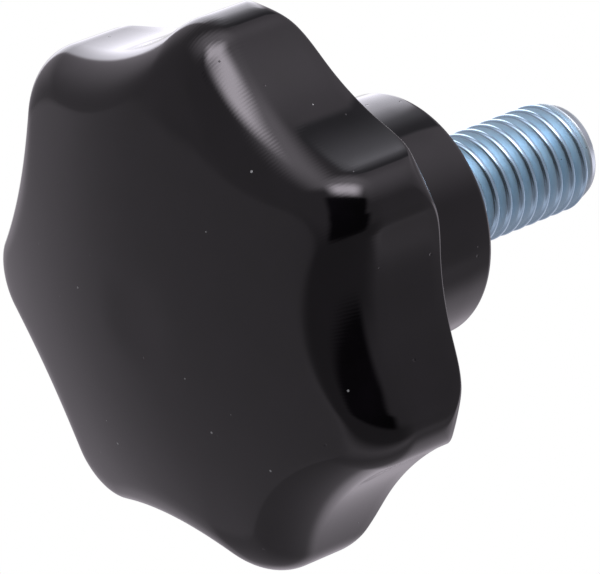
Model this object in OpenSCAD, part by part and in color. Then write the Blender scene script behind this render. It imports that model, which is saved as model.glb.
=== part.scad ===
// Star knob: a moulded plastic body with scalloped sides and a round hub, and a steel threaded
// stud that is moulded into it. It stands on its face with the stud upwards.
// Z = 0 is the end of the hub, the face that seats on the work, and a lobe points along +X.

/* [Star] */
// Diameter over the tips of the lobes
star_d = 40; // [32:1:60]
// Number of lobes
lobe_count = 7; // [6:1:9]
// How deep the flutes between the lobes are cut, below the lobe tips
flute_depth = 2.75; // [1.6:0.05:3.6]
// Radius of each lobe's rounded tip, seen along the axis
lobe_tip_r = 3.4; // [2.6:0.1:4.2]
// Height of the star, from its underside to the middle of the face
star_h = 12.4; // [10:0.1:18]
// Radius of the crowned face
face_r = 50; // [40:1:90]
// Diameter of the flat spot in the middle of the face
face_flat_d = 6; // [3:0.5:10]
// Rounding between the sides and the face
face_edge_r = 4.6; // [2.5:0.1:5.5]
// Rounding under the lobe tips
under_edge_r = 2.3; // [1:0.1:3]
// Small break on the edge between the sides and the underside
edge_break = 0.2; // [0.1:0.05:0.4]

/* [Hub] */
// Length of the hub below the star
hub_h = 12.6; // [8:0.1:20]
// Diameter of the hub at its end
hub_d = 17.6; // [15:0.1:22]
// Mould draft of the hub's side, in degrees
hub_draft = 1; // [0:0.5:3]
// Rounding on the end of the hub
hub_edge_r = 0.5; // [0.2:0.1:1]
// Fillet where the hub meets the underside
hub_root_r = 1; // [0.5:0.1:1.5]

/* [Stud] */
// Major diameter of the thread
thread_d = 8; // [6:1:10]
// Pitch of the thread
thread_pitch = 1.25; // [0.75:0.05:1.75]
// Length of the stud that stands out of the hub
stud_out = 15.6; // [12:0.1:40]
// How far the thread's full diameter starts inside the hub
thread_sink = 0.15; // [0.05:0.05:0.2]
// Length of the taper at the tip, where the thread runs out
tip_h = 1.6; // [0.8:0.1:2.4]
// Diameter of the tip's end
tip_d = 6.8; // [5:0.1:8]
// Length of the plain shank between the thread and the knurl, which the plastic locks around
shank_h = 4.5; // [2:0.5:6]
// Length of the knurled end
knurl_h = 8.5; // [5:0.5:12]
// Number of knurl teeth
knurl_teeth = 24; // [16:2:36]
// Height of a knurl tooth
knurl_tooth_h = 0.45; // [0.2:0.05:0.6]
// How far the knurl stands out past the thread, on the radius
knurl_step = 0.8; // [0.5:0.1:1.2]

/* [Hidden] */

// The star's outline: tip arcs of lobe_tip_r on a circle, joined by flute arcs that touch them
star_r = star_d / 2;
flute_bottom_r = star_r - flute_depth;
half_pitch = 180 / lobe_count;
tip_centre = star_r - lobe_tip_r;
tip_across = tip_centre * cos(half_pitch);
flute_r = (lobe_tip_r ^ 2 - flute_bottom_r ^ 2 - tip_centre ^ 2 + 2 * flute_bottom_r * tip_across)
    / (2 * (flute_bottom_r - tip_across - lobe_tip_r));
flute_centre = flute_bottom_r + flute_r;
// Where the two arcs touch, as an angle from the middle of the lobe
touch_dir = atan2(flute_centre * sin(half_pitch), flute_centre * cos(half_pitch) - tip_centre);
touch_angle = atan2(lobe_tip_r * sin(touch_dir), tip_centre + lobe_tip_r * cos(touch_dir));

// Heights
under_z = -hub_h;
face_z = under_z - star_h;
face_flat_r = face_flat_d / 2;
// The crown is a sphere, and the flat spot cuts its pole off
crown_centre_z = face_z + sqrt(face_r ^ 2 - face_flat_r ^ 2);

// The hub
hub_r = hub_d / 2;
hub_root_d = hub_d + 2 * hub_h * tan(hub_draft);
hub_sink = 1;
hub_fn = 180;
root_steps = 6;

// The stud
thread_r = thread_d / 2;
// The thread is rolled, so the shank it was rolled from has the thread's pitch radius
shank_r = thread_r - 0.3248 * thread_pitch;
knurl_z = -shank_h;
knurl_r = thread_r + knurl_step;
knurl_end_z = knurl_z - knurl_h;
knurl_chamfer = knurl_tooth_h;

// How finely the star's surface is divided
steps_round = lobe_count * 20;
edge_steps = 8;
crown_steps = 6;
under_steps = 7;

// Angle from the middle of the nearest lobe, without a sign
function off_lobe(a) = abs((a + half_pitch) % (2 * half_pitch) - half_pitch);

// Distance from the axis to a point on a circle of radius r whose centre is d out, seen a degrees
// off the line to that centre; side is 1 for the far side of the circle and -1 for the near side
function arc_r(d, r, a, side) = d * cos(a) + side * sqrt(max(0, r ^ 2 - (d * sin(a)) ^ 2));

// Radius of the outline at an angle
function outline_r(a) = off_lobe(a) < touch_angle
    ? arc_r(tip_centre, lobe_tip_r, off_lobe(a), 1)
    : arc_r(flute_centre, flute_r, half_pitch - off_lobe(a), -1);

// Height of the underside: flat, and rounded off towards the lobe tips
function under_at(r) = let (t = min(max(r - (star_r - under_edge_r), 0), under_edge_r))
    under_z - under_edge_r + sqrt(under_edge_r ^ 2 - t ^ 2);

// Height of the crowned face
function face_at(r) = crown_centre_z - sqrt(face_r ^ 2 - r ^ 2);

// The rounding touches the side and the crown: its centre lies face_edge_r inside both
function edge_centre_r(a) = outline_r(a) - face_edge_r;
function edge_centre_z(a) = crown_centre_z - sqrt((face_r - face_edge_r) ^ 2 - edge_centre_r(a) ^ 2);
function edge_turn(a) = acos(edge_centre_r(a) / (face_r - face_edge_r));

// Rings of the star's surface, as [radius, height] at angle a, from the underside to the face
function under_inset(i) = under_edge_r * 1.3 * (1 - i / under_steps) ^ 2;
function under_point(a, i) = let (inset = under_inset(i), r = outline_r(a) - inset)
    [r, under_at(r) - max(0, edge_break - inset)];
function edge_point(a, i) = let (t = edge_turn(a) * i / edge_steps)
    [edge_centre_r(a) + face_edge_r * cos(t), edge_centre_z(a) - face_edge_r * sin(t)];
function crown_point(a, i) = let (
    from_r = edge_point(a, edge_steps)[0],
    r = from_r + (face_flat_r - from_r) * i / crown_steps) [r, face_at(r)];

function on_ring(a, p) = [p[0] * cos(a), p[0] * sin(a), p[1]];
ring_count = (under_steps + 1) + (edge_steps + 1) + crown_steps;
function star_ring(k) = [
    for (s = [0 : steps_round - 1]) let (a = 360 * s / steps_round)
        on_ring(a, k <= under_steps ? under_point(a, k)
            : k <= under_steps + 1 + edge_steps ? edge_point(a, k - under_steps - 1)
            : crown_point(a, k - under_steps - 1 - edge_steps))
];

// The star, as one closed surface of rings with a flat cap at each end
module star() {
    points = [for (k = [0 : ring_count - 1]) each star_ring(k)];
    under_cap = [[for (s = [0 : steps_round - 1]) steps_round - 1 - s]];
    face_cap = [[for (s = [0 : steps_round - 1]) (ring_count - 1) * steps_round + s]];
    bands = [
        for (k = [0 : ring_count - 2], s = [0 : steps_round - 1])
            let (n = (s + 1) % steps_round, lo = k * steps_round, hi = lo + steps_round)
                each [[lo + s, lo + n, hi + n], [lo + s, hi + n, hi + s]]
    ];
    polyhedron(points, concat(under_cap, bands, face_cap), convexity = 6);
}

// The hub: a drafted round boss with a rounded end and a fillet at its root
module hub() {
    root_r = hub_root_d / 2;
    rotate_extrude($fn = hub_fn)
        polygon(concat(
            [[0, under_z - hub_sink], [root_r + hub_root_r, under_z - hub_sink]],
            [for (i = [0 : root_steps]) let (t = 90 * i / root_steps)
                [root_r + hub_root_r * (1 - sin(t)), under_z + hub_root_r * (1 - cos(t))]],
            [for (i = [0 : root_steps]) let (t = 90 * i / root_steps)
                [hub_r - hub_edge_r * (1 - cos(t)), -hub_edge_r * (1 - sin(t))]],
            [[0, 0]]));
}

// A toothed disc: the knurled end of the stud
module knurl(r, h) {
    tooth = 360 / knurl_teeth;
    linear_extrude(h)
        polygon([for (i = [0 : knurl_teeth - 1]) each [
            let (a = (i - 0.2) * tooth) r * [cos(a), sin(a)],
            let (a = (i + 0.2) * tooth) r * [cos(a), sin(a)],
            let (a = (i + 0.5) * tooth) (r - knurl_tooth_h) * [cos(a), sin(a)]]]);
}

module stud_shape() {
    // The threaded length, as a plain cylinder of the major diameter
    translate([0, 0, -thread_sink])
        cylinder(r = thread_r, h = thread_sink + stud_out - tip_h, $fn = 96);
    // The tapered tip
    translate([0, 0, stud_out - tip_h]) cylinder(r1 = thread_r, d2 = tip_d, h = tip_h, $fn = 96);
    // The shank
    translate([0, 0, knurl_z]) cylinder(r = shank_r, h = shank_h, $fn = 96);
    // The knurled end, which keeps it from turning and pulling out, with its corners taken off
    intersection() {
        translate([0, 0, knurl_end_z]) knurl(knurl_r, knurl_h);
        translate([0, 0, knurl_end_z]) rotate_extrude($fn = 96)
            polygon([[0, 0], [knurl_r - knurl_chamfer, 0], [knurl_r + edge_break, knurl_chamfer + edge_break],
                [knurl_r + edge_break, knurl_h - knurl_chamfer - edge_break],
                [knurl_r - knurl_chamfer, knurl_h], [0, knurl_h]]);
    }
}

// The moulded body, closed around the stud
module knob_body() {
    color([0.07, 0.066, 0.07]) difference() {
        union() {
            star();
            hub();
        }
        stud_shape();
    }
}

module threaded_stud() {
    color([0.66, 0.74, 0.82]) stud_shape();
}

knob_body();
threaded_stud();
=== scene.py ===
"""Looks of the star knob: a glossy moulded body and a zinc plated stud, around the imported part.

Shapes are worked out in millimetres and put into meshes in metres. +Z runs along the stud.
"""
import math

import bpy
import numpy as np
from mathutils import Matrix, Vector


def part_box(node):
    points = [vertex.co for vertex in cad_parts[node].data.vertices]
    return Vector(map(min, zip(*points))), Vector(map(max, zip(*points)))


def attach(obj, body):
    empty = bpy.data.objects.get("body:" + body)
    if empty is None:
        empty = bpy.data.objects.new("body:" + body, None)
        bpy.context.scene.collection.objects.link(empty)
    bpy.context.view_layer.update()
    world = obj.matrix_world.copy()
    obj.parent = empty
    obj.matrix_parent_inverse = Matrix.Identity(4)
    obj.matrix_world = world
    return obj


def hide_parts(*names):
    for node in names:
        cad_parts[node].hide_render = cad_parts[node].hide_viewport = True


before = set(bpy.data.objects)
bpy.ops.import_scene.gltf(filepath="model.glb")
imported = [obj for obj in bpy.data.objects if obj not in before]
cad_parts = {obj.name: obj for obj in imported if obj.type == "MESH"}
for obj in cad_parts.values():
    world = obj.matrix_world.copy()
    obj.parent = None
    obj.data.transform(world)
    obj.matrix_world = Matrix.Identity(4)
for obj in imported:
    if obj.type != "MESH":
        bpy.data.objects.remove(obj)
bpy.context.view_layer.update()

MM = 0.001
BODY_BOX = np.array([list(corner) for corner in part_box("knob_body")]) / MM
STUD_BOX = np.array([list(corner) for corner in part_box("threaded_stud")]) / MM

# ---------------------------------------------------------------- sizes, in millimetres

LOBES = 7
STAR_R = BODY_BOX[1][0] - 0.02
FLUTE_DEPTH = 2.75
LOBE_TIP_R = 3.4
FACE_Z = BODY_BOX[0][2]
UNDER_Z = -12.6
CROWN_R = 50.0
# The small flat that the knob stands on, and how softly the crown eases into it
FLAT_R = 3.0
FLAT_EASE = 0.05
EDGE_R = 4.6
UNDER_EDGE_R = 2.3
EDGE_BREAK = 0.25
HUB_R = 8.8
HUB_ROOT_R = 9.02
HUB_EDGE_R = 0.5
HUB_FILLET = 1.0
# Radii of the rings across the end of the hub, the last one just outside the stud
HUB_END_RINGS = (7.0, 5.6, 4.4, 3.694)
# Rows of the body's skin across the face, the rounding at its edge, a straight wall, the broken
# edge under the wall, the underside, and the hub's fillet or rounded end
FACE_ROWS = 25
EDGE_ROWS = 19
WALL_ROWS = 5
BREAK_ROWS = 7
UNDER_ROWS = 12
FILLET_ROWS = 8
# How the rows crowd: under 1 towards the end of a stretch, over 1 towards its start
FACE_CROWDING = 0.85
UNDER_CROWDING = 1.6

THREAD_R = 4.0
PITCH = 1.25
ROOT_R = 3.35
# Angle between a flank and the plane square to the axis, in degrees
FLANK_ANGLE = 30
CREST_FLAT = 0.04
CREST_ROUND = 0.28
# Points of the thread's profile on half a crest and on half a root, and the places of those on the
# flank between them
CREST_POINTS = 7
ROOT_POINTS = 6
FLANK_PLACES = np.array([0.33, 0.67])
# Where a crest of the thread passes the +X side
CREST_START = -0.46
STUD_TOP = STUD_BOX[1][2]
TIP_TAPER_H = 1.6
# How far the tip's taper runs on past the crests, as a multiple of its height
TAPER_REACH = 1.2
TIP_R = 3.4
TIP_CORNER_R = 0.25
# Rings of the stud's end as radii and depths below its top, and the depth of its middle
END_RINGS = ((3.1, 0.0), (2.9, 0.0), (1.6, 0.04))
END_HOLLOW = 0.06
SHANK_R = 3.594
SHANK_H = 4.5
KNURL_R = STUD_BOX[1][1]
KNURL_H = 8.5
KNURL_TEETH = 24
KNURL_TOOTH_H = 0.45
# Half of a tooth's flat top, as a share of the way from one tooth to the next
KNURL_TOP = 0.2
# Depths of the rings down the hole for the shank
SHANK_HOLE_RINGS = (0.1, 1.5, 3.0, SHANK_H)
# Columns of the body's skin, a whole number for each lobe and for each tooth of the knurl
BODY_COLUMNS = LOBES * KNURL_TEETH * 4
# Columns of the thread between two places where its rows step down by one
STEP_COLUMNS = 8
# Gaps between the rows of the thread and the hub's end, and below the stud's top
THREAD_START_GAP = 0.02
THREAD_END_GAP = 0.03

# ---------------------------------------------------------------- where the camera stands

# Angles in degrees: where it is as seen from the point it looks at, and how far it is rolled
CAMERA_AZIMUTH = 159.1
CAMERA_ELEVATION = -38.5
CAMERA_ROLL = 68.3
# In metres
CAMERA_DISTANCE = 0.4587
CAMERA_AIM = Vector((0.0005, -0.0024, -0.010))
CAMERA_LENS_MM = 400.6
SENSOR_WIDTH_MM = 36.0


def camera_axes():
    """The directions to the right, upwards and backwards of the camera."""
    azimuth, elevation, roll = (
        math.radians(angle) for angle in (CAMERA_AZIMUTH, CAMERA_ELEVATION, CAMERA_ROLL))
    back = Vector((math.cos(azimuth) * math.cos(elevation),
                   math.sin(azimuth) * math.cos(elevation), math.sin(elevation)))
    level = Vector((-math.sin(azimuth), math.cos(azimuth), 0.0))
    right = level * math.cos(roll) + back.cross(level) * math.sin(roll)
    return right, back.cross(right), back


CAMERA_RIGHT, CAMERA_UP, CAMERA_BACK = camera_axes()

# ---------------------------------------------------------------- mesh helpers


def quarter(rows):
    """So many angles from 0 to 90 degrees, as radians in a column."""
    return np.radians(np.linspace(0, 90, rows))[:, None]


def between(rows, crowding=1.0):
    """So many shares between 0 and 1, with both ends left out, as a column. Each is raised to the
    power of the crowding."""
    return np.linspace(0, 1, rows + 2)[1:-1, None] ** crowding


def round_the_axis(radius, angle, height):
    """Points at a radius, an angle and a height, one after another."""
    parts = radius * np.cos(angle), radius * np.sin(angle), height
    return np.stack(np.broadcast_arrays(*parts), -1).reshape(-1, 3)


def band(below, above):
    """Quads between rings of vertices and the rings next to them, facing outwards where these are
    further up the axis and the rings run anticlockwise."""
    quads = np.stack([below, np.roll(below, -1, -1), np.roll(above, -1, -1), above], -1)
    return quads.reshape(-1, 4)


def fan(ring, pole, up):
    """Triangles from a ring of vertices to one pole vertex, which is further up the axis or not."""
    nxt = np.roll(ring, -1)
    pole = np.full_like(ring, pole)
    return np.stack([ring, nxt, pole] if up else [nxt, ring, pole], -1)


def mesh_piece(name, points, quads, tris):
    """A smooth mesh object in metres, from points in millimetres and arrays of quads and
    triangles."""
    mesh = bpy.data.meshes.new(name)
    mesh.vertices.add(len(points))
    mesh.vertices.foreach_set("co", (points * MM).astype(np.float32).ravel())
    corners = np.concatenate([quads.ravel(), tris.ravel()]).astype(np.int32)
    starts = np.concatenate([np.arange(len(quads)) * 4,
                             len(quads) * 4 + np.arange(len(tris)) * 3]).astype(np.int32)
    mesh.loops.add(len(corners))
    mesh.loops.foreach_set("vertex_index", corners)
    mesh.polygons.add(len(starts))
    mesh.polygons.foreach_set("loop_start", starts)
    mesh.polygons.foreach_set("use_smooth", np.ones(len(starts), bool))
    mesh.update(calc_edges=True)
    mesh.validate()
    piece = bpy.data.objects.new(name, mesh)
    bpy.context.scene.collection.objects.link(piece)
    return piece


def add_mask(piece, name, values):
    """A number for each vertex, which a material reads by name."""
    layer = piece.data.attributes.new(name, "FLOAT", "POINT")
    layer.data.foreach_set("value", np.asarray(values, np.float32).ravel())


def add_turns(piece, turn, rings):
    """A UV map whose U runs once round the piece, following turn, the share of the way round at
    each column of a skin of that many rings. Faces that close the ring run on past 1."""
    mesh = piece.data
    vertex = np.empty(len(mesh.loops), np.int32)
    mesh.loops.foreach_get("vertex_index", vertex)
    start = np.empty(len(mesh.polygons), np.int32)
    mesh.polygons.foreach_get("loop_start", start)
    columns = len(turn)
    u = np.where(vertex < rings * columns, turn[vertex % columns], 0.0)
    lowest = np.repeat(np.minimum.reduceat(u, start), np.diff(np.append(start, len(u))))
    highest = np.repeat(np.maximum.reduceat(u, start), np.diff(np.append(start, len(u))))
    u = u + ((highest - lowest > 0.5) & (u < 0.5))
    v = np.minimum(vertex // columns, rings) / rings
    layer = mesh.uv_layers.new(name="round_the_star")
    layer.data.foreach_set("uv", np.stack([u, v], -1).astype(np.float32).ravel())


# ---------------------------------------------------------------- the moulded body


def star_outline(angle):
    """Radius of the star at an angle: lobe tips are arcs of LOBE_TIP_R whose centres lie on a
    circle, and the flutes are larger arcs, centred outside the star, that touch both neighbours."""
    half = math.pi / LOBES
    bottom = STAR_R - FLUTE_DEPTH
    tip_centre = STAR_R - LOBE_TIP_R
    across = tip_centre * math.cos(half)
    flute_r = (LOBE_TIP_R ** 2 - bottom ** 2 - tip_centre ** 2 + 2 * bottom * across) \
        / (2 * (bottom - across - LOBE_TIP_R))
    flute_centre = bottom + flute_r
    turn = math.atan2(flute_centre * math.sin(half), flute_centre * math.cos(half) - tip_centre)
    touch = math.atan2(LOBE_TIP_R * math.sin(turn), tip_centre + LOBE_TIP_R * math.cos(turn))
    off = np.abs((angle + half) % (2 * half) - half)
    back = half - off
    tip = tip_centre * np.cos(off) \
        + np.sqrt(np.maximum(LOBE_TIP_R ** 2 - (tip_centre * np.sin(off)) ** 2, 0))
    flute = flute_centre * np.cos(back) \
        - np.sqrt(np.maximum(flute_r ** 2 - (flute_centre * np.sin(back)) ** 2, 0))
    return np.where(off < touch, tip, flute)


def crown_height(r):
    """Height of the face: a sphere of CROWN_R, easing into the small flat it stands on."""
    sag = CROWN_R - np.sqrt(CROWN_R ** 2 - r ** 2)
    flat_sag = CROWN_R - math.sqrt(CROWN_R ** 2 - FLAT_R ** 2)
    over = sag - flat_sag
    lift = 0.5 * (over + np.sqrt(over ** 2 + FLAT_EASE ** 2))
    middle_lift = 0.5 * (-flat_sag + math.sqrt(flat_sag ** 2 + FLAT_EASE ** 2))
    return FACE_Z + lift - middle_lift


def under_height(r):
    """Height of the underside: flat, then a quarter round of UNDER_EDGE_R towards the lobe tips."""
    t = np.clip(r - (STAR_R - UNDER_EDGE_R), 0, UNDER_EDGE_R)
    return UNDER_Z - UNDER_EDGE_R + np.sqrt(UNDER_EDGE_R ** 2 - t ** 2)


def knurl_radius(angle, r):
    """Radius of the straight knurl at an angle: teeth with flat tops that reach r, straight sides
    and pointed valleys."""
    phase = (angle * KNURL_TEETH / (2 * math.pi)) % 1.0
    away = np.minimum(phase, 1 - phase)
    return r - KNURL_TOOTH_H * np.clip((away - KNURL_TOP) / (0.5 - KNURL_TOP), 0, 1)


def knob_skin(columns):
    """Radius and height of the body's whole skin, row by row, from the middle of the face round to
    the bottom of the hole that the stud fills. Each stretch is a profile in the plane through the
    axis, and its reach follows the star's outline at each angle."""
    angle = np.arange(columns) * 2 * math.pi / columns
    out = star_outline(angle)[None, :]
    sphere_z = FACE_Z + math.sqrt(CROWN_R ** 2 - FLAT_R ** 2)
    # the edge's rounding touches the side and the crown
    edge_c = out - EDGE_R
    edge_z = sphere_z - np.sqrt((CROWN_R - EDGE_R) ** 2 - edge_c ** 2)
    turn = np.arccos(edge_c / (CROWN_R - EDGE_R))
    crown_end = edge_c + EDGE_R * np.cos(turn)
    stretches = []

    def add(radius, height):
        """Add a stretch, with one radius and one height for each angle in each of its rows."""
        stretches.append(np.broadcast_arrays(radius, height, np.zeros((1, columns)))[:2])

    # the crowned face, and the rounding along the star's outline
    t = between(FACE_ROWS, FACE_CROWDING)
    add(crown_end * t, crown_height(crown_end * t))
    t = np.linspace(1, 0, EDGE_ROWS)[:, None] * turn
    add(edge_c + EDGE_R * np.cos(t), edge_z - EDGE_R * np.sin(t))
    # the star's wall, and the broken edge under it
    low = under_height(out) - EDGE_BREAK
    add(out, edge_z + (low - edge_z) * between(WALL_ROWS))
    t = quarter(BREAK_ROWS)
    r = out - EDGE_BREAK * (1 - np.cos(t))
    add(r, under_height(r) - EDGE_BREAK * (1 - np.sin(t)))
    # the underside, and the fillet at the hub's foot
    t = between(UNDER_ROWS, UNDER_CROWDING)
    r = (out - EDGE_BREAK) * (1 - t) + (HUB_ROOT_R + HUB_FILLET) * t
    add(r, under_height(r))
    t = quarter(FILLET_ROWS)
    add(HUB_ROOT_R + HUB_FILLET * (1 - np.sin(t)), UNDER_Z + HUB_FILLET * (1 - np.cos(t)))
    # the hub's side, its rounded end, and its flat
    t = between(WALL_ROWS)
    side = UNDER_Z + HUB_FILLET
    add(HUB_ROOT_R + (HUB_R - HUB_ROOT_R) * t, side + (-HUB_EDGE_R - side) * t)
    t = quarter(FILLET_ROWS)
    add(HUB_R - HUB_EDGE_R * (1 - np.cos(t)), -HUB_EDGE_R * (1 - np.sin(t)))
    add(np.array(HUB_END_RINGS)[:, None], 0.0)
    # the hole around the stud: shank, then the knurl's pocket
    add(SHANK_R, -np.array(SHANK_HOLE_RINGS)[:, None])
    add(knurl_radius(angle, KNURL_R)[None, :],
        -np.array([[SHANK_H], [SHANK_H + KNURL_H / 2], [SHANK_H + KNURL_H]]))
    radius = np.concatenate([stretch[0] for stretch in stretches])
    height = np.concatenate([stretch[1] for stretch in stretches])
    return angle, radius, height


def make_knob_body():
    """The body as one closed skin: rings round the axis, with a pole in the middle of the face and
    another at the bottom of the hole."""
    angle, radius, height = knob_skin(BODY_COLUMNS)
    points = round_the_axis(radius, angle, height)
    poles = np.array([[0, 0, FACE_Z], [0, 0, -SHANK_H - KNURL_H]])
    rings = np.arange(radius.size).reshape(radius.shape)
    tris = [fan(rings[0], radius.size, False), fan(rings[-1], radius.size + 1, True)]
    piece = mesh_piece("moulded_knob", np.concatenate([points, poles]),
                       band(rings[:-1], rings[1:]), np.concatenate(tris))
    # 1 on the rounding between the face and the sides, 0 elsewhere
    rounding = np.zeros(radius.shape)
    rounding[FACE_ROWS:FACE_ROWS + EDGE_ROWS] = 1.0
    add_mask(piece, "edge_rounding", np.append(rounding, [0.0, 0.0]))
    # the way round is measured along the star's outline
    around = round_the_axis(star_outline(angle), angle, 0.0)
    step = np.linalg.norm(np.roll(around, -1, 0) - around, axis=1)
    add_turns(piece, np.append(0.0, np.cumsum(step))[:-1] / step.sum(), len(rings))
    return piece


# ---------------------------------------------------------------- the threaded stud


def thread_profile():
    """One pitch of the rolled thread, as places along the axis and radii, from the middle of a
    crest: half a narrow flat, an arc of CREST_ROUND until it points down the flank, the straight
    flank, and an arc that levels out in the middle of the root; then the same in a mirror."""
    bend = math.radians(90 - FLANK_ANGLE)
    turn = np.linspace(0, bend, CREST_POINTS)
    half_crest = CREST_FLAT / 2 + CREST_ROUND * np.sin(turn)
    drop_crest = CREST_ROUND * (1 - np.cos(turn))
    # the root's round follows from what the crest and the flank leave
    slope = math.tan(math.radians(FLANK_ANGLE))
    left = PITCH / 2 - half_crest[-1] - (THREAD_R - ROOT_R - drop_crest[-1]) * slope
    root_round = left / (math.sin(bend) - (1 - math.cos(bend)) * slope)
    turn = np.linspace(bend, 0, ROOT_POINTS)
    half_root = PITCH / 2 - root_round * np.sin(turn)
    drop_root = THREAD_R - ROOT_R - root_round * (1 - np.cos(turn))
    half_flank = half_crest[-1] + (half_root[0] - half_crest[-1]) * FLANK_PLACES
    drop_flank = drop_crest[-1] + (drop_root[0] - drop_crest[-1]) * FLANK_PLACES
    half = np.concatenate([[0.0], half_crest, half_flank, half_root])
    drop = np.concatenate([[0.0], drop_crest, drop_flank, drop_root])
    place = np.concatenate([half, PITCH - half[-2:0:-1]])
    return place, THREAD_R - np.concatenate([drop, drop[-2:0:-1]])


def thread_skin(angle, step):
    """Radius, height and depth in the thread of each point of its rows. Each column of points holds
    the same profile, moved up the axis by one pitch for each turn and down by its step of rows."""
    place, profile = thread_profile()
    per_pitch = len(place)
    # start low enough that some rows lie below the first one kept, and end above the last one, then
    # keep the same count in each column
    rows = int((STUD_TOP - THREAD_START_GAP) / PITCH * per_pitch) + 2 * per_pitch
    index = np.arange(-2 * per_pitch, rows)[:, None] - step[None, :]
    along = place[index % per_pitch] + PITCH * (index // per_pitch) \
        + PITCH * angle[None, :] / (2 * math.pi) + CREST_START
    keep_from = int(np.argmax((along > THREAD_START_GAP).all(1)))
    below_top = (along[::-1] < STUD_TOP - THREAD_END_GAP).all(1)
    keep_to = int(len(along) - np.argmax(below_top))
    index, along = index[keep_from:keep_to], along[keep_from:keep_to]
    radius = profile[index % per_pitch]
    depth = (THREAD_R - radius) / (THREAD_R - ROOT_R)
    # the tip tapers by TIP_TAPER_H from the crests' radius to TIP_R, runs on past the crests, and
    # its last corner is rounded off
    from_top = STUD_TOP - along
    taper = TIP_R + (THREAD_R - TIP_R) * np.clip(from_top / TIP_TAPER_H, 0, TAPER_REACH)
    short = np.clip(TIP_CORNER_R - from_top, 0, TIP_CORNER_R)
    taper = taper - (TIP_CORNER_R - np.sqrt(TIP_CORNER_R ** 2 - short ** 2))
    return np.minimum(radius, taper), along, depth


def stepped_faces(rings, step):
    """Quads and triangles between rings of vertices. A quad keeps its row where its two columns
    have the same step. Where the step changes, the next column is one row lower, and a triangle
    closes the gap in the first row and in the last."""
    count, columns = rings.shape
    row, col = np.meshgrid(np.arange(count - 1), np.arange(columns), indexing="ij")
    nxt = (col + 1) % columns
    lower = row + (step[nxt] != step[col])
    inside = lower + 1 < count
    row, col, nxt, lower = row[inside], col[inside], nxt[inside], lower[inside]
    quads = np.stack([rings[row, col], rings[lower, nxt], rings[lower + 1, nxt],
                      rings[row + 1, col]], -1)
    cut = np.flatnonzero(np.roll(step, -1) != step)
    after = (cut + 1) % columns
    first = np.stack([rings[0, cut], rings[0, after], rings[1, after]], -1)
    last = np.stack([rings[-2, cut], rings[-1, after], rings[-1, cut]], -1)
    return quads, np.concatenate([first, last])


def make_stud():
    """The stud as one closed skin. The thread's rows step down by one at fixed columns, so that
    every row of faces follows the helix, and flat rings close each end."""
    columns = len(thread_profile()[0]) * STEP_COLUMNS
    angle = np.arange(columns) * 2 * math.pi / columns
    step = np.arange(columns) // STEP_COLUMNS
    radius, along, depth = thread_skin(angle, step)
    points = []

    def add(block):
        """Add points, and give their numbers."""
        start = sum(len(part) for part in points)
        points.append(block)
        return np.arange(start, start + len(block))

    rings = add(round_the_axis(radius, angle, along)).reshape(radius.shape)
    quads, tris = ([faces] for faces in stepped_faces(rings, step))
    # the end of the tip: a flat with a slight hollow in the middle
    last = rings[-1]
    for r, below in END_RINGS:
        ring = add(round_the_axis(r, angle, STUD_TOP - below))
        quads.append(band(last, ring))
        last = ring
    tris.append(fan(last, add(np.array([[0, 0, STUD_TOP - END_HOLLOW]])), True))
    # inside the hub: the run-out onto the shank, the shank and the knurl
    knurl = knurl_radius(angle, KNURL_R)
    chamfer = KNURL_TOOTH_H
    chamfered = np.minimum(knurl, KNURL_R - chamfer)
    last = rings[0]
    for r, z in ((SHANK_R, 0.0), (SHANK_R, -SHANK_H), (chamfered, -SHANK_H),
                 (knurl, -SHANK_H - chamfer), (knurl, -SHANK_H - KNURL_H + chamfer),
                 (chamfered, -SHANK_H - KNURL_H)):
        ring = add(round_the_axis(r, angle, z))
        quads.append(band(ring, last))
        last = ring
    tris.append(fan(last, add(np.array([[0, 0, -SHANK_H - KNURL_H]])), False))
    points = np.concatenate(points)
    piece = mesh_piece("zinc_plated_stud", points, np.concatenate(quads), np.concatenate(tris))
    # 0 on the crests and 1 in the roots
    add_mask(piece, "thread_depth", np.append(depth, np.zeros(len(points) - depth.size)))
    return piece


# ---------------------------------------------------------------- node helpers

# Noise hardly ever passes these two values
NOISE_LOW, NOISE_HIGH = 0.3, 0.7
# Sizes in millimetres of the clouds that push fine marks to and fro, and that fade them
PUSH = {"Size": 0.7, "Detail": 2.0}
FADE = {"Size": 2.5, "Detail": 1.0}


def feed(tree, socket, value):
    """Give an input its value: another node's output, a number, a direction, or a colour as a
    tuple of three numbers."""
    if isinstance(value, bpy.types.NodeSocket):
        tree.links.new(value, socket)
    else:
        socket.default_value = (*value, 1) if isinstance(value, tuple) else value


def math_node(tree, operation, a, b=0.0, c=0.0, clamp=False):
    """One sum on up to three numbers or sockets, giving the result's socket."""
    node = tree.nodes.new("ShaderNodeMath")
    node.operation, node.use_clamp = operation, clamp
    for socket, value in zip(node.inputs, (a, b, c)):
        feed(tree, socket, value)
    return node.outputs[0]


def dot_product(tree, a, b):
    """The dot product of two vector sockets."""
    node = tree.nodes.new("ShaderNodeVectorMath")
    node.operation = "DOT_PRODUCT"
    tree.links.new(a, node.inputs[0])
    tree.links.new(b, node.inputs[1])
    return node.outputs["Value"]


def new_material(name):
    """A material with a Principled shader: the material, its tree and the shader."""
    material = bpy.data.materials.new(name)
    material.use_nodes = True
    shader = material.node_tree.nodes["Principled BSDF"]
    return material, material.node_tree, shader


def new_group(name, inputs, output):
    """A node group with the named inputs and one number as its output."""
    tree = bpy.data.node_groups.new(name, "ShaderNodeTree")
    for label, kind in inputs:
        tree.interface.new_socket(label, in_out="INPUT", socket_type="NodeSocket" + kind)
    tree.interface.new_socket(output, in_out="OUTPUT", socket_type="NodeSocketFloat")
    return tree, tree.nodes.new("NodeGroupInput"), tree.nodes.new("NodeGroupOutput")


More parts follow.
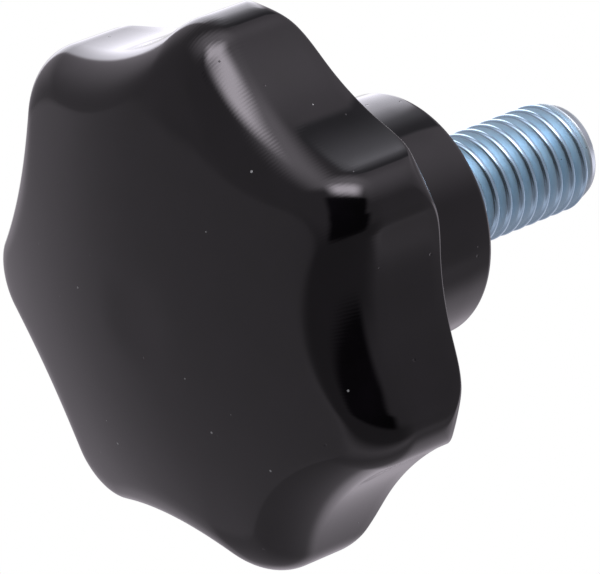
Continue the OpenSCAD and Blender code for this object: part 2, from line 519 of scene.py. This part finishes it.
def use_group(tree, group, values):
    """Place a group in a material with its own values, and give its output."""
    node = tree.nodes.new("ShaderNodeGroup")
    node.node_tree = group
    for label, value in values.items():
        feed(tree, node.inputs[label], value)
    return node.outputs[0]


def clouds_group():
    """Soft patches: noise of a size given in millimetres, spread over 0 to 1."""
    tree, given, result = new_group("clouds", [("Place", "Vector"), ("Size", "Float"),
                                               ("Detail", "Float")], "Value")
    noise = tree.nodes.new("ShaderNodeTexNoise")
    tree.links.new(given.outputs["Place"], noise.inputs["Vector"])
    tree.links.new(math_node(tree, "DIVIDE", 1.0, given.outputs["Size"]), noise.inputs["Scale"])
    tree.links.new(given.outputs["Detail"], noise.inputs["Detail"])
    spread = tree.nodes.new("ShaderNodeMapRange")
    spread.inputs["From Min"].default_value = NOISE_LOW
    spread.inputs["From Max"].default_value = NOISE_HIGH
    tree.links.new(noise.outputs["Fac"], spread.inputs["Value"])
    tree.links.new(spread.outputs["Result"], result.inputs["Value"])


def specks_group():
    """Dust: a round dot in a few of the cells of a scattered pattern. Share is the part of the
    cells that hold one, Spacing and Size are in millimetres."""
    tree, given, result = new_group("specks", [("Place", "Vector"), ("Spacing", "Float"),
                                               ("Size", "Float"), ("Share", "Float")], "Speck")
    cells = tree.nodes.new("ShaderNodeTexVoronoi")
    tree.links.new(given.outputs["Place"], cells.inputs["Vector"])
    tree.links.new(math_node(tree, "DIVIDE", 1.0, given.outputs["Spacing"]), cells.inputs["Scale"])
    parts = tree.nodes.new("ShaderNodeSeparateColor")
    tree.links.new(cells.outputs["Color"], parts.inputs["Color"])
    chosen = math_node(tree, "LESS_THAN", parts.outputs["Red"], given.outputs["Share"])
    # a chosen cell's dot is between half and all of the size
    size = math_node(tree, "MULTIPLY_ADD", parts.outputs["Green"], 0.5, 0.5)
    size = math_node(tree, "MULTIPLY", size, given.outputs["Size"])
    reach = math_node(tree, "MULTIPLY", cells.outputs["Distance"], given.outputs["Spacing"])
    # it is solid over two thirds of its reach, and fades over the last third
    near = math_node(tree, "SUBTRACT", 1.0, math_node(tree, "DIVIDE", reach, size), clamp=True)
    near = math_node(tree, "MULTIPLY", near, 3.0, clamp=True)
    tree.links.new(math_node(tree, "MULTIPLY", near, chosen), result.inputs["Speck"])


def marks_group():
    """Fine parallel marks, as a height from 0 to 1: a sine of a running number, in turns, pushed to
    and fro by clouds and faded in and out by larger ones."""
    tree, given, result = new_group("fine_marks", [("Turns", "Float"), ("Place", "Vector"),
                                                   ("Waver", "Float")], "Height")
    clouds = bpy.data.node_groups["clouds"]
    push = use_group(tree, clouds, {"Place": given.outputs["Place"], **PUSH})
    push = math_node(tree, "MULTIPLY", push, given.outputs["Waver"])
    phase = math_node(tree, "MULTIPLY", math_node(tree, "ADD", given.outputs["Turns"], push),
                      2 * math.pi)
    wave = math_node(tree, "SINE", phase)
    fade = use_group(tree, clouds, {"Place": given.outputs["Place"], **FADE})
    wave = math_node(tree, "MULTIPLY", wave, math_node(tree, "MULTIPLY", fade, 0.5))
    tree.links.new(math_node(tree, "ADD", wave, 0.5), result.inputs["Height"])


def place_in_mm(tree):
    """Place on the piece in millimetres."""
    scale = tree.nodes.new("ShaderNodeMapping")
    scale.inputs["Scale"].default_value = (1 / MM, 1 / MM, 1 / MM)
    tree.links.new(tree.nodes.new("ShaderNodeTexCoord").outputs["Object"], scale.inputs["Vector"])
    return scale.outputs["Vector"]


def mask_of(tree, name):
    """The number that a piece carries under a name."""
    node = tree.nodes.new("ShaderNodeAttribute")
    node.attribute_name = name
    return node.outputs["Fac"]


def colours_by(tree, factor, low, high):
    """One colour where a factor is 0 and another where it is 1. Each is a colour or a socket."""
    mix = tree.nodes.new("ShaderNodeMix")
    mix.data_type = "RGBA"
    tree.links.new(factor, mix.inputs["Factor"])
    feed(tree, mix.inputs[6], low)
    feed(tree, mix.inputs[7], high)
    return mix.outputs[2]


def bump(tree, height, depth_mm, under=None):
    """A bump from a height of 0 to 1 that stands for a depth in millimetres."""
    node = tree.nodes.new("ShaderNodeBump")
    node.inputs["Strength"].default_value = 1.0
    node.inputs["Distance"].default_value = depth_mm * MM
    tree.links.new(height, node.inputs["Height"])
    if under is not None:
        tree.links.new(under, node.inputs["Normal"])
    return node.outputs["Normal"]


# ---------------------------------------------------------------- the plastic

# Its black where it is clean and where it is smudged
PLASTIC_BLACKS = (0.0003, 0.0002, 0.0005), (0.0024, 0.0017, 0.0030)
DUST_COLOUR = (0.30, 0.30, 0.32)
PLASTIC_IOR = 1.5
# Roughness of the clean plastic, and what a smudge, the buffed rounding and dust add to it
PLASTIC_ROUGHNESS = 0.035
SMUDGE_ROUGHNESS = 0.025
EDGE_ROUGHNESS = 0.05
DUST_ROUGHNESS = 0.5
# Sizes and spacings in millimetres, and shares of the places that hold a speck
SMUDGES = {"Size": 3.0, "Detail": 4.0}
WAVES = {"Size": 5.0, "Detail": 1.0}
DUST = {"Spacing": 1.9, "Size": 0.13, "Share": 0.4}
PITS = {"Spacing": 1.1, "Size": 0.13, "Share": 0.12}
# Buffing marks in one turn round the star, and how far they waver, in marks
BUFFING_MARKS = 450
BUFFING_WAVER = 0.3
# Heights in millimetres that the bumps stand for
WAVE_H = 0.006
BUFFING_H = 0.0026
DUST_H = 0.015


def plastic_material():
    """Black moulded plastic, polished: faint waves in the gloss, buffing marks across the rounded
    edge, smudges, and a little pale dust."""
    material, tree, shader = new_material("black_thermoset")
    shader.inputs["IOR"].default_value = PLASTIC_IOR
    clouds, specks = bpy.data.node_groups["clouds"], bpy.data.node_groups["specks"]
    place = place_in_mm(tree)
    edge = mask_of(tree, "edge_rounding")
    dust = use_group(tree, specks, {"Place": place, **DUST})
    pits = use_group(tree, specks, {"Place": place, **PITS})
    smudge = use_group(tree, clouds, {"Place": place, **SMUDGES})
    black = colours_by(tree, smudge, *PLASTIC_BLACKS)
    tree.links.new(colours_by(tree, dust, black, DUST_COLOUR), shader.inputs["Base Color"])
    rough = math_node(tree, "MULTIPLY_ADD", smudge, SMUDGE_ROUGHNESS, PLASTIC_ROUGHNESS)
    rough = math_node(tree, "MULTIPLY_ADD", edge, EDGE_ROUGHNESS, rough)
    rough = math_node(tree, "MULTIPLY_ADD", dust, DUST_ROUGHNESS, rough)
    tree.links.new(rough, shader.inputs["Roughness"])
    # buffing marks run down the rounding, a fixed number of them round the star
    uv = tree.nodes.new("ShaderNodeUVMap")
    uv.uv_map = "round_the_star"
    split = tree.nodes.new("ShaderNodeSeparateXYZ")
    tree.links.new(uv.outputs["UV"], split.inputs["Vector"])
    turns = math_node(tree, "MULTIPLY", split.outputs["X"], BUFFING_MARKS)
    marks = use_group(tree, bpy.data.node_groups["fine_marks"],
                      {"Turns": turns, "Place": place, "Waver": BUFFING_WAVER})
    # they are deep on the +Y side, which was pressed to the wheel the hardest
    lean = math_node(tree, "SINE", math_node(tree, "MULTIPLY", split.outputs["X"], 2 * math.pi))
    lean = math_node(tree, "MULTIPLY_ADD", lean, 0.5, 0.5)
    lean = math_node(tree, "MULTIPLY", lean, lean)
    marks = math_node(tree, "MULTIPLY", math_node(tree, "MULTIPLY", marks, edge), lean)
    wave = use_group(tree, clouds, {"Place": place, **WAVES})
    normal = bump(tree, wave, WAVE_H)
    normal = bump(tree, marks, BUFFING_H, normal)
    normal = bump(tree, math_node(tree, "SUBTRACT", dust, pits), DUST_H, normal)
    tree.links.new(normal, shader.inputs["Normal"])
    return material


# ---------------------------------------------------------------- the zinc plate

# The blue of its patches, and its colour on the crests, on the cut end and under grime
ZINC_BLUES = (0.46, 0.64, 0.78), (0.54, 0.72, 0.85)
CREST_COLOUR = (0.42, 0.59, 0.73)
CUT_END_COLOUR = (0.60, 0.68, 0.74)
GRIME_COLOUR = (0.16, 0.18, 0.20)
# Roughness of the flanks, and what a patch, grime and the rolled crests add to it
FLANK_ROUGHNESS = 0.36
PATCH_ROUGHNESS = 0.10
GRIME_ROUGHNESS = 0.3
CREST_ROUGHNESS = -0.18
# How metallic the flanks are, and what the crests add to it
FLANK_METAL = 0.7
CREST_METAL = 0.25
# Depth in the thread at which a crest ends, and how steeply it ends there
CREST_DEPTH = 0.28
CREST_SLOPE = 12.0
# Height of the cut end, and how steeply its colour sets in
CUT_END_H = 1.3
CUT_END_SLOPE = 2.5
# Sizes and spacings in millimetres, and the share of the places that hold a speck
PATCHES = {"Size": 1.6, "Detail": 4.0}
GRAIN = {"Size": 0.12, "Detail": 3.0}
GRIME = {"Spacing": 0.7, "Size": 0.1, "Share": 0.1}
# Rolling marks from the crest to the root, and how far they waver, in marks
ROLLING_MARKS = 9.0
ROLLING_WAVER = 0.8
# Heights in millimetres that the bumps stand for
GRAIN_H = 0.004
ROLLING_H = 0.003


def zinc_material():
    """Zinc plate with a blue passivation: hazy and softly patched on the flanks, smooth and more
    metallic on the rolled crests, greyer on the cut end, with a fine grain, rolling marks along the
    thread and a little grime."""
    material, tree, shader = new_material("blue_zinc")
    clouds, specks = bpy.data.node_groups["clouds"], bpy.data.node_groups["specks"]
    place = place_in_mm(tree)
    depth = mask_of(tree, "thread_depth")
    patches = use_group(tree, clouds, {"Place": place, **PATCHES})
    colour = colours_by(tree, patches, *ZINC_BLUES)
    crest = math_node(tree, "SUBTRACT", CREST_DEPTH, depth, clamp=True)
    crest = math_node(tree, "MULTIPLY", crest, CREST_SLOPE, clamp=True)
    colour = colours_by(tree, crest, colour, CREST_COLOUR)
    # the cut end of the bar is greyer than the rolled thread
    height = tree.nodes.new("ShaderNodeSeparateXYZ")
    tree.links.new(place, height.inputs[0])
    cut = math_node(tree, "SUBTRACT", height.outputs["Z"], STUD_TOP - CUT_END_H)
    cut = math_node(tree, "MULTIPLY", cut, CUT_END_SLOPE, clamp=True)
    colour = colours_by(tree, cut, colour, CUT_END_COLOUR)
    grime = use_group(tree, specks, {"Place": place, **GRIME})
    tree.links.new(colours_by(tree, grime, colour, GRIME_COLOUR), shader.inputs["Base Color"])
    rough = math_node(tree, "MULTIPLY_ADD", patches, PATCH_ROUGHNESS, FLANK_ROUGHNESS)
    rough = math_node(tree, "MULTIPLY_ADD", grime, GRIME_ROUGHNESS, rough)
    rough = math_node(tree, "MULTIPLY_ADD", crest, CREST_ROUGHNESS, rough)
    tree.links.new(rough, shader.inputs["Roughness"])
    metal = math_node(tree, "MULTIPLY_ADD", crest, CREST_METAL, FLANK_METAL)
    tree.links.new(metal, shader.inputs["Metallic"])
    grain = use_group(tree, clouds, {"Place": place, **GRAIN})
    turns = math_node(tree, "MULTIPLY", depth, ROLLING_MARKS)
    marks = use_group(tree, bpy.data.node_groups["fine_marks"],
                      {"Turns": turns, "Place": place, "Waver": ROLLING_WAVER})
    # the crests are rolled smooth
    rest = math_node(tree, "SUBTRACT", 1.0, crest)
    normal = bump(tree, math_node(tree, "MULTIPLY", grain, rest), GRAIN_H)
    normal = bump(tree, math_node(tree, "MULTIPLY", marks, rest), ROLLING_H, normal)
    tree.links.new(normal, shader.inputs["Normal"])
    return material


# ---------------------------------------------------------------- camera, floor and light

FLOOR_HALF_M = 1.5
FLOOR_GREY = 0.9
# Light of the room where no panel covers it, and the least softness of a panel's edge, in degrees
ROOM_LIGHT = 0.4
LEAST_SOFTNESS = 0.5
# The room is a little purple, and what is overhead is a little blue
ROOM_TINT = (1.0, 0.92, 1.02)
OVERHEAD_TINT = (0.99, 0.97, 1.07)


def make_camera():
    """A long lens looking up at the crowned face, with the stud pointing away to the right."""
    data = bpy.data.cameras.new("camera")
    data.sensor_fit, data.sensor_width = "HORIZONTAL", SENSOR_WIDTH_MM
    data.lens = CAMERA_LENS_MM
    data.clip_start, data.clip_end = 0.01, 10.0
    camera = bpy.data.objects.new("camera", data)
    turn = Matrix((CAMERA_RIGHT, CAMERA_UP, CAMERA_BACK)).transposed()
    place = CAMERA_AIM + CAMERA_BACK * CAMERA_DISTANCE
    camera.matrix_world = Matrix.Translation(place) @ turn.to_4x4()
    bpy.context.scene.collection.objects.link(camera)
    bpy.context.scene.camera = camera


def make_floor():
    """A pale floor that shows from above only, so that the knob can be seen from under it too."""
    half, z = FLOOR_HALF_M, FACE_Z * MM
    mesh = bpy.data.meshes.new("floor")
    mesh.from_pydata([(-half, -half, z), (half, -half, z), (half, half, z), (-half, half, z)], [],
                     [(0, 1, 2, 3)])
    floor = bpy.data.objects.new("floor", mesh)
    bpy.context.scene.collection.objects.link(floor)
    material = bpy.data.materials.new("floor_paint")
    material.use_nodes = True
    tree = material.node_tree
    tree.nodes.clear()
    path = tree.nodes.new("ShaderNodeLightPath")
    side = tree.nodes.new("ShaderNodeNewGeometry")
    paint = tree.nodes.new("ShaderNodeBsdfDiffuse")
    feed(tree, paint.inputs["Color"], (FLOOR_GREY, FLOOR_GREY, FLOOR_GREY))
    clear = tree.nodes.new("ShaderNodeBsdfTransparent")
    front = math_node(tree, "SUBTRACT", 1.0, side.outputs["Backfacing"])
    shown = math_node(tree, "MULTIPLY", path.outputs["Is Camera Ray"], front)
    mix = tree.nodes.new("ShaderNodeMixShader")
    tree.links.new(shown, mix.inputs[0])
    tree.links.new(clear.outputs[0], mix.inputs[1])
    tree.links.new(paint.outputs[0], mix.inputs[2])
    out = tree.nodes.new("ShaderNodeOutputMaterial")
    tree.links.new(mix.outputs[0], out.inputs["Surface"])
    floor.data.materials.append(material)


def looking(turn, rise):
    """The direction that lies turn degrees to the right of the camera and rise degrees above it, as
    seen from the knob, and the directions to the right and upwards there."""
    turn, rise = math.radians(turn), math.radians(rise)
    ahead = CAMERA_BACK * math.cos(turn) + CAMERA_RIGHT * math.sin(turn)
    right = CAMERA_RIGHT * math.cos(turn) - CAMERA_BACK * math.sin(turn)
    return (ahead * math.cos(rise) + CAMERA_UP * math.sin(rise), right,
            CAMERA_UP * math.cos(rise) - ahead * math.sin(rise))


def soft_panel_group():
    """How much of a rectangular panel with soft edges is seen in a direction: the angle away from
    the panel's middle is taken across and along it, and each fades from 1 to 0 at its edge."""
    directions = [(name, "Vector") for name in ("Direction", "Facing", "Across", "Along")]
    sizes = [(name, "Float") for name in ("Half Width", "Half Height", "Side Softness",
                                          "End Softness")]
    tree, given, result = new_group("soft_panel", directions + sizes, "Seen")
    reach = dot_product(tree, given.outputs["Direction"], given.outputs["Facing"])
    seen = 1.0
    for axis, size, softness in (("Across", "Half Width", "Side Softness"),
                                 ("Along", "Half Height", "End Softness")):
        half_soft = math_node(tree, "MULTIPLY", given.outputs[softness], 0.5)
        off = dot_product(tree, given.outputs["Direction"], given.outputs[axis])
        off = math_node(tree, "ABSOLUTE", off)
        fade = tree.nodes.new("ShaderNodeMapRange")
        fade.interpolation_type = "SMOOTHSTEP"
        tree.links.new(math_node(tree, "ARCTAN2", off, reach), fade.inputs["Value"])
        tree.links.new(math_node(tree, "ADD", given.outputs[size], half_soft),
                       fade.inputs["From Min"])
        tree.links.new(math_node(tree, "SUBTRACT", given.outputs[size], half_soft),
                       fade.inputs["From Max"])
        seen = math_node(tree, "MULTIPLY", fade.outputs["Result"], seen)
    tree.links.new(seen, result.inputs["Seen"])
    return tree


def make_world():
    """The room round the knob: soft panels painted one over another on a dim grey. Each has the
    turn and rise of its middle, its roll, half its width, half its height and the softness of its
    side and end edges, all in degrees, and its light. The camera sees plain white, and so do
    reflections of what lies behind the knob."""
    panels = {
        "floor": (15, -50, 0, 60, 25, 40, 30, 0.22),
        "under": (15, -80, 0, 60, 8, 30, 24, 0.8),
        "left_wall": (-130, -17, 0, 30, 20, 30, 2, 0.65),
        "left_desk": (-90, -30, -30, 25, 26, 30, 2, 0.52),
        "left_top": (-145, 38, 0, 25, 20, 30, 20, 0.65),
        "right_wall": (85, 50, 0, 35, 20, 20, 30, 0.9),
        "rafter": (140, 66, 0, 9, 12, 3, 12, 0.28),
        "ceiling": (168, 66, 0, 8, 10, 16, 12, 0.9),
        "low_spill": (155, -28, 0, 30, 15, 20, 15, 0.8),
        "low_lamp": (130, -5, 0, 12, 12, 10, 10, 1.2),
        "key_glow": (5, 68, 0, 30, 15, 40, 25, 2.0),
        "sweep": (-172, 35, 5, 13, 24, 4, 20, 2.5),
        "key_light": (12, 49, -5, 18, 11, 18, 18, 8.0),
        "screen": (12, 12, 0, 32, 20, 10, 5, 0.035),
        "bench": (17, -16, 0, 37, 17, 14, 10, 0.03),
    }
    backdrop = (180, 5, 0, 12, 8, 10, 8)
    world = bpy.data.worlds.new("studio")
    bpy.context.scene.world = world
    world.use_nodes = True
    tree = world.node_tree
    tree.nodes.clear()
    group = soft_panel_group()
    direction = tree.nodes.new("ShaderNodeTexCoord").outputs["Generated"]

    def panel(turn, rise, roll, half_width, half_height, side_softness, end_softness):
        """How much of a panel is seen."""
        facing, right, up = looking(turn, rise)
        spin = Matrix.Rotation(math.radians(roll), 3, facing)
        return use_group(tree, group, {
            "Direction": direction, "Facing": facing, "Across": spin @ right, "Along": spin @ up,
            "Half Width": math.radians(half_width), "Half Height": math.radians(half_height),
            "Side Softness": math.radians(side_softness + LEAST_SOFTNESS),
            "End Softness": math.radians(end_softness + LEAST_SOFTNESS)})

    def paint(under, seen, light):
        """The light where a panel of its own light is painted over what is under it."""
        mix = tree.nodes.new("ShaderNodeMix")
        tree.links.new(seen, mix.inputs["Factor"])
        feed(tree, mix.inputs["A"], under)
        feed(tree, mix.inputs["B"], light)
        return mix.outputs["Result"]

    light, seen = ROOM_LIGHT, {}
    for name, shape in panels.items():
        seen[name] = panel(*shape[:-1])
        light = paint(light, seen[name], shape[-1])
    path = tree.nodes.new("ShaderNodeLightPath")
    mirrored = math_node(tree, "ADD", path.outputs["Is Glossy Ray"],
                         path.outputs["Is Transmission Ray"])
    behind = math_node(tree, "MULTIPLY", mirrored, panel(*backdrop))
    white = math_node(tree, "ADD", path.outputs["Is Camera Ray"], behind, clamp=True)
    light = paint(light, white, 1.0)
    # the tints are seen only in reflections, and not in the white behind the knob
    overhead = math_node(tree, "ADD", seen["ceiling"], seen["sweep"], clamp=True)
    overhead = math_node(tree, "ADD", overhead, seen["rafter"], clamp=True)
    tint = colours_by(tree, overhead, ROOM_TINT, OVERHEAD_TINT)
    tinted = math_node(tree, "SUBTRACT", mirrored, behind, clamp=True)
    tint = colours_by(tree, tinted, (1.0, 1.0, 1.0), tint)
    back = tree.nodes.new("ShaderNodeBackground")
    tree.links.new(tint, back.inputs["Color"])
    tree.links.new(light, back.inputs["Strength"])
    out = tree.nodes.new("ShaderNodeOutputWorld")
    tree.links.new(back.outputs[0], out.inputs["Surface"])


# ---------------------------------------------------------------- building

make_camera()
clouds_group()
specks_group()
marks_group()
body = make_knob_body()
body.data.materials.append(plastic_material())
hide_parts("knob_body")
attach(body, "root")
stud = make_stud()
stud.data.materials.append(zinc_material())
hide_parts("threaded_stud")
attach(stud, "root")
make_floor()
make_world()
bpy.context.scene.view_settings.view_transform = "Standard"
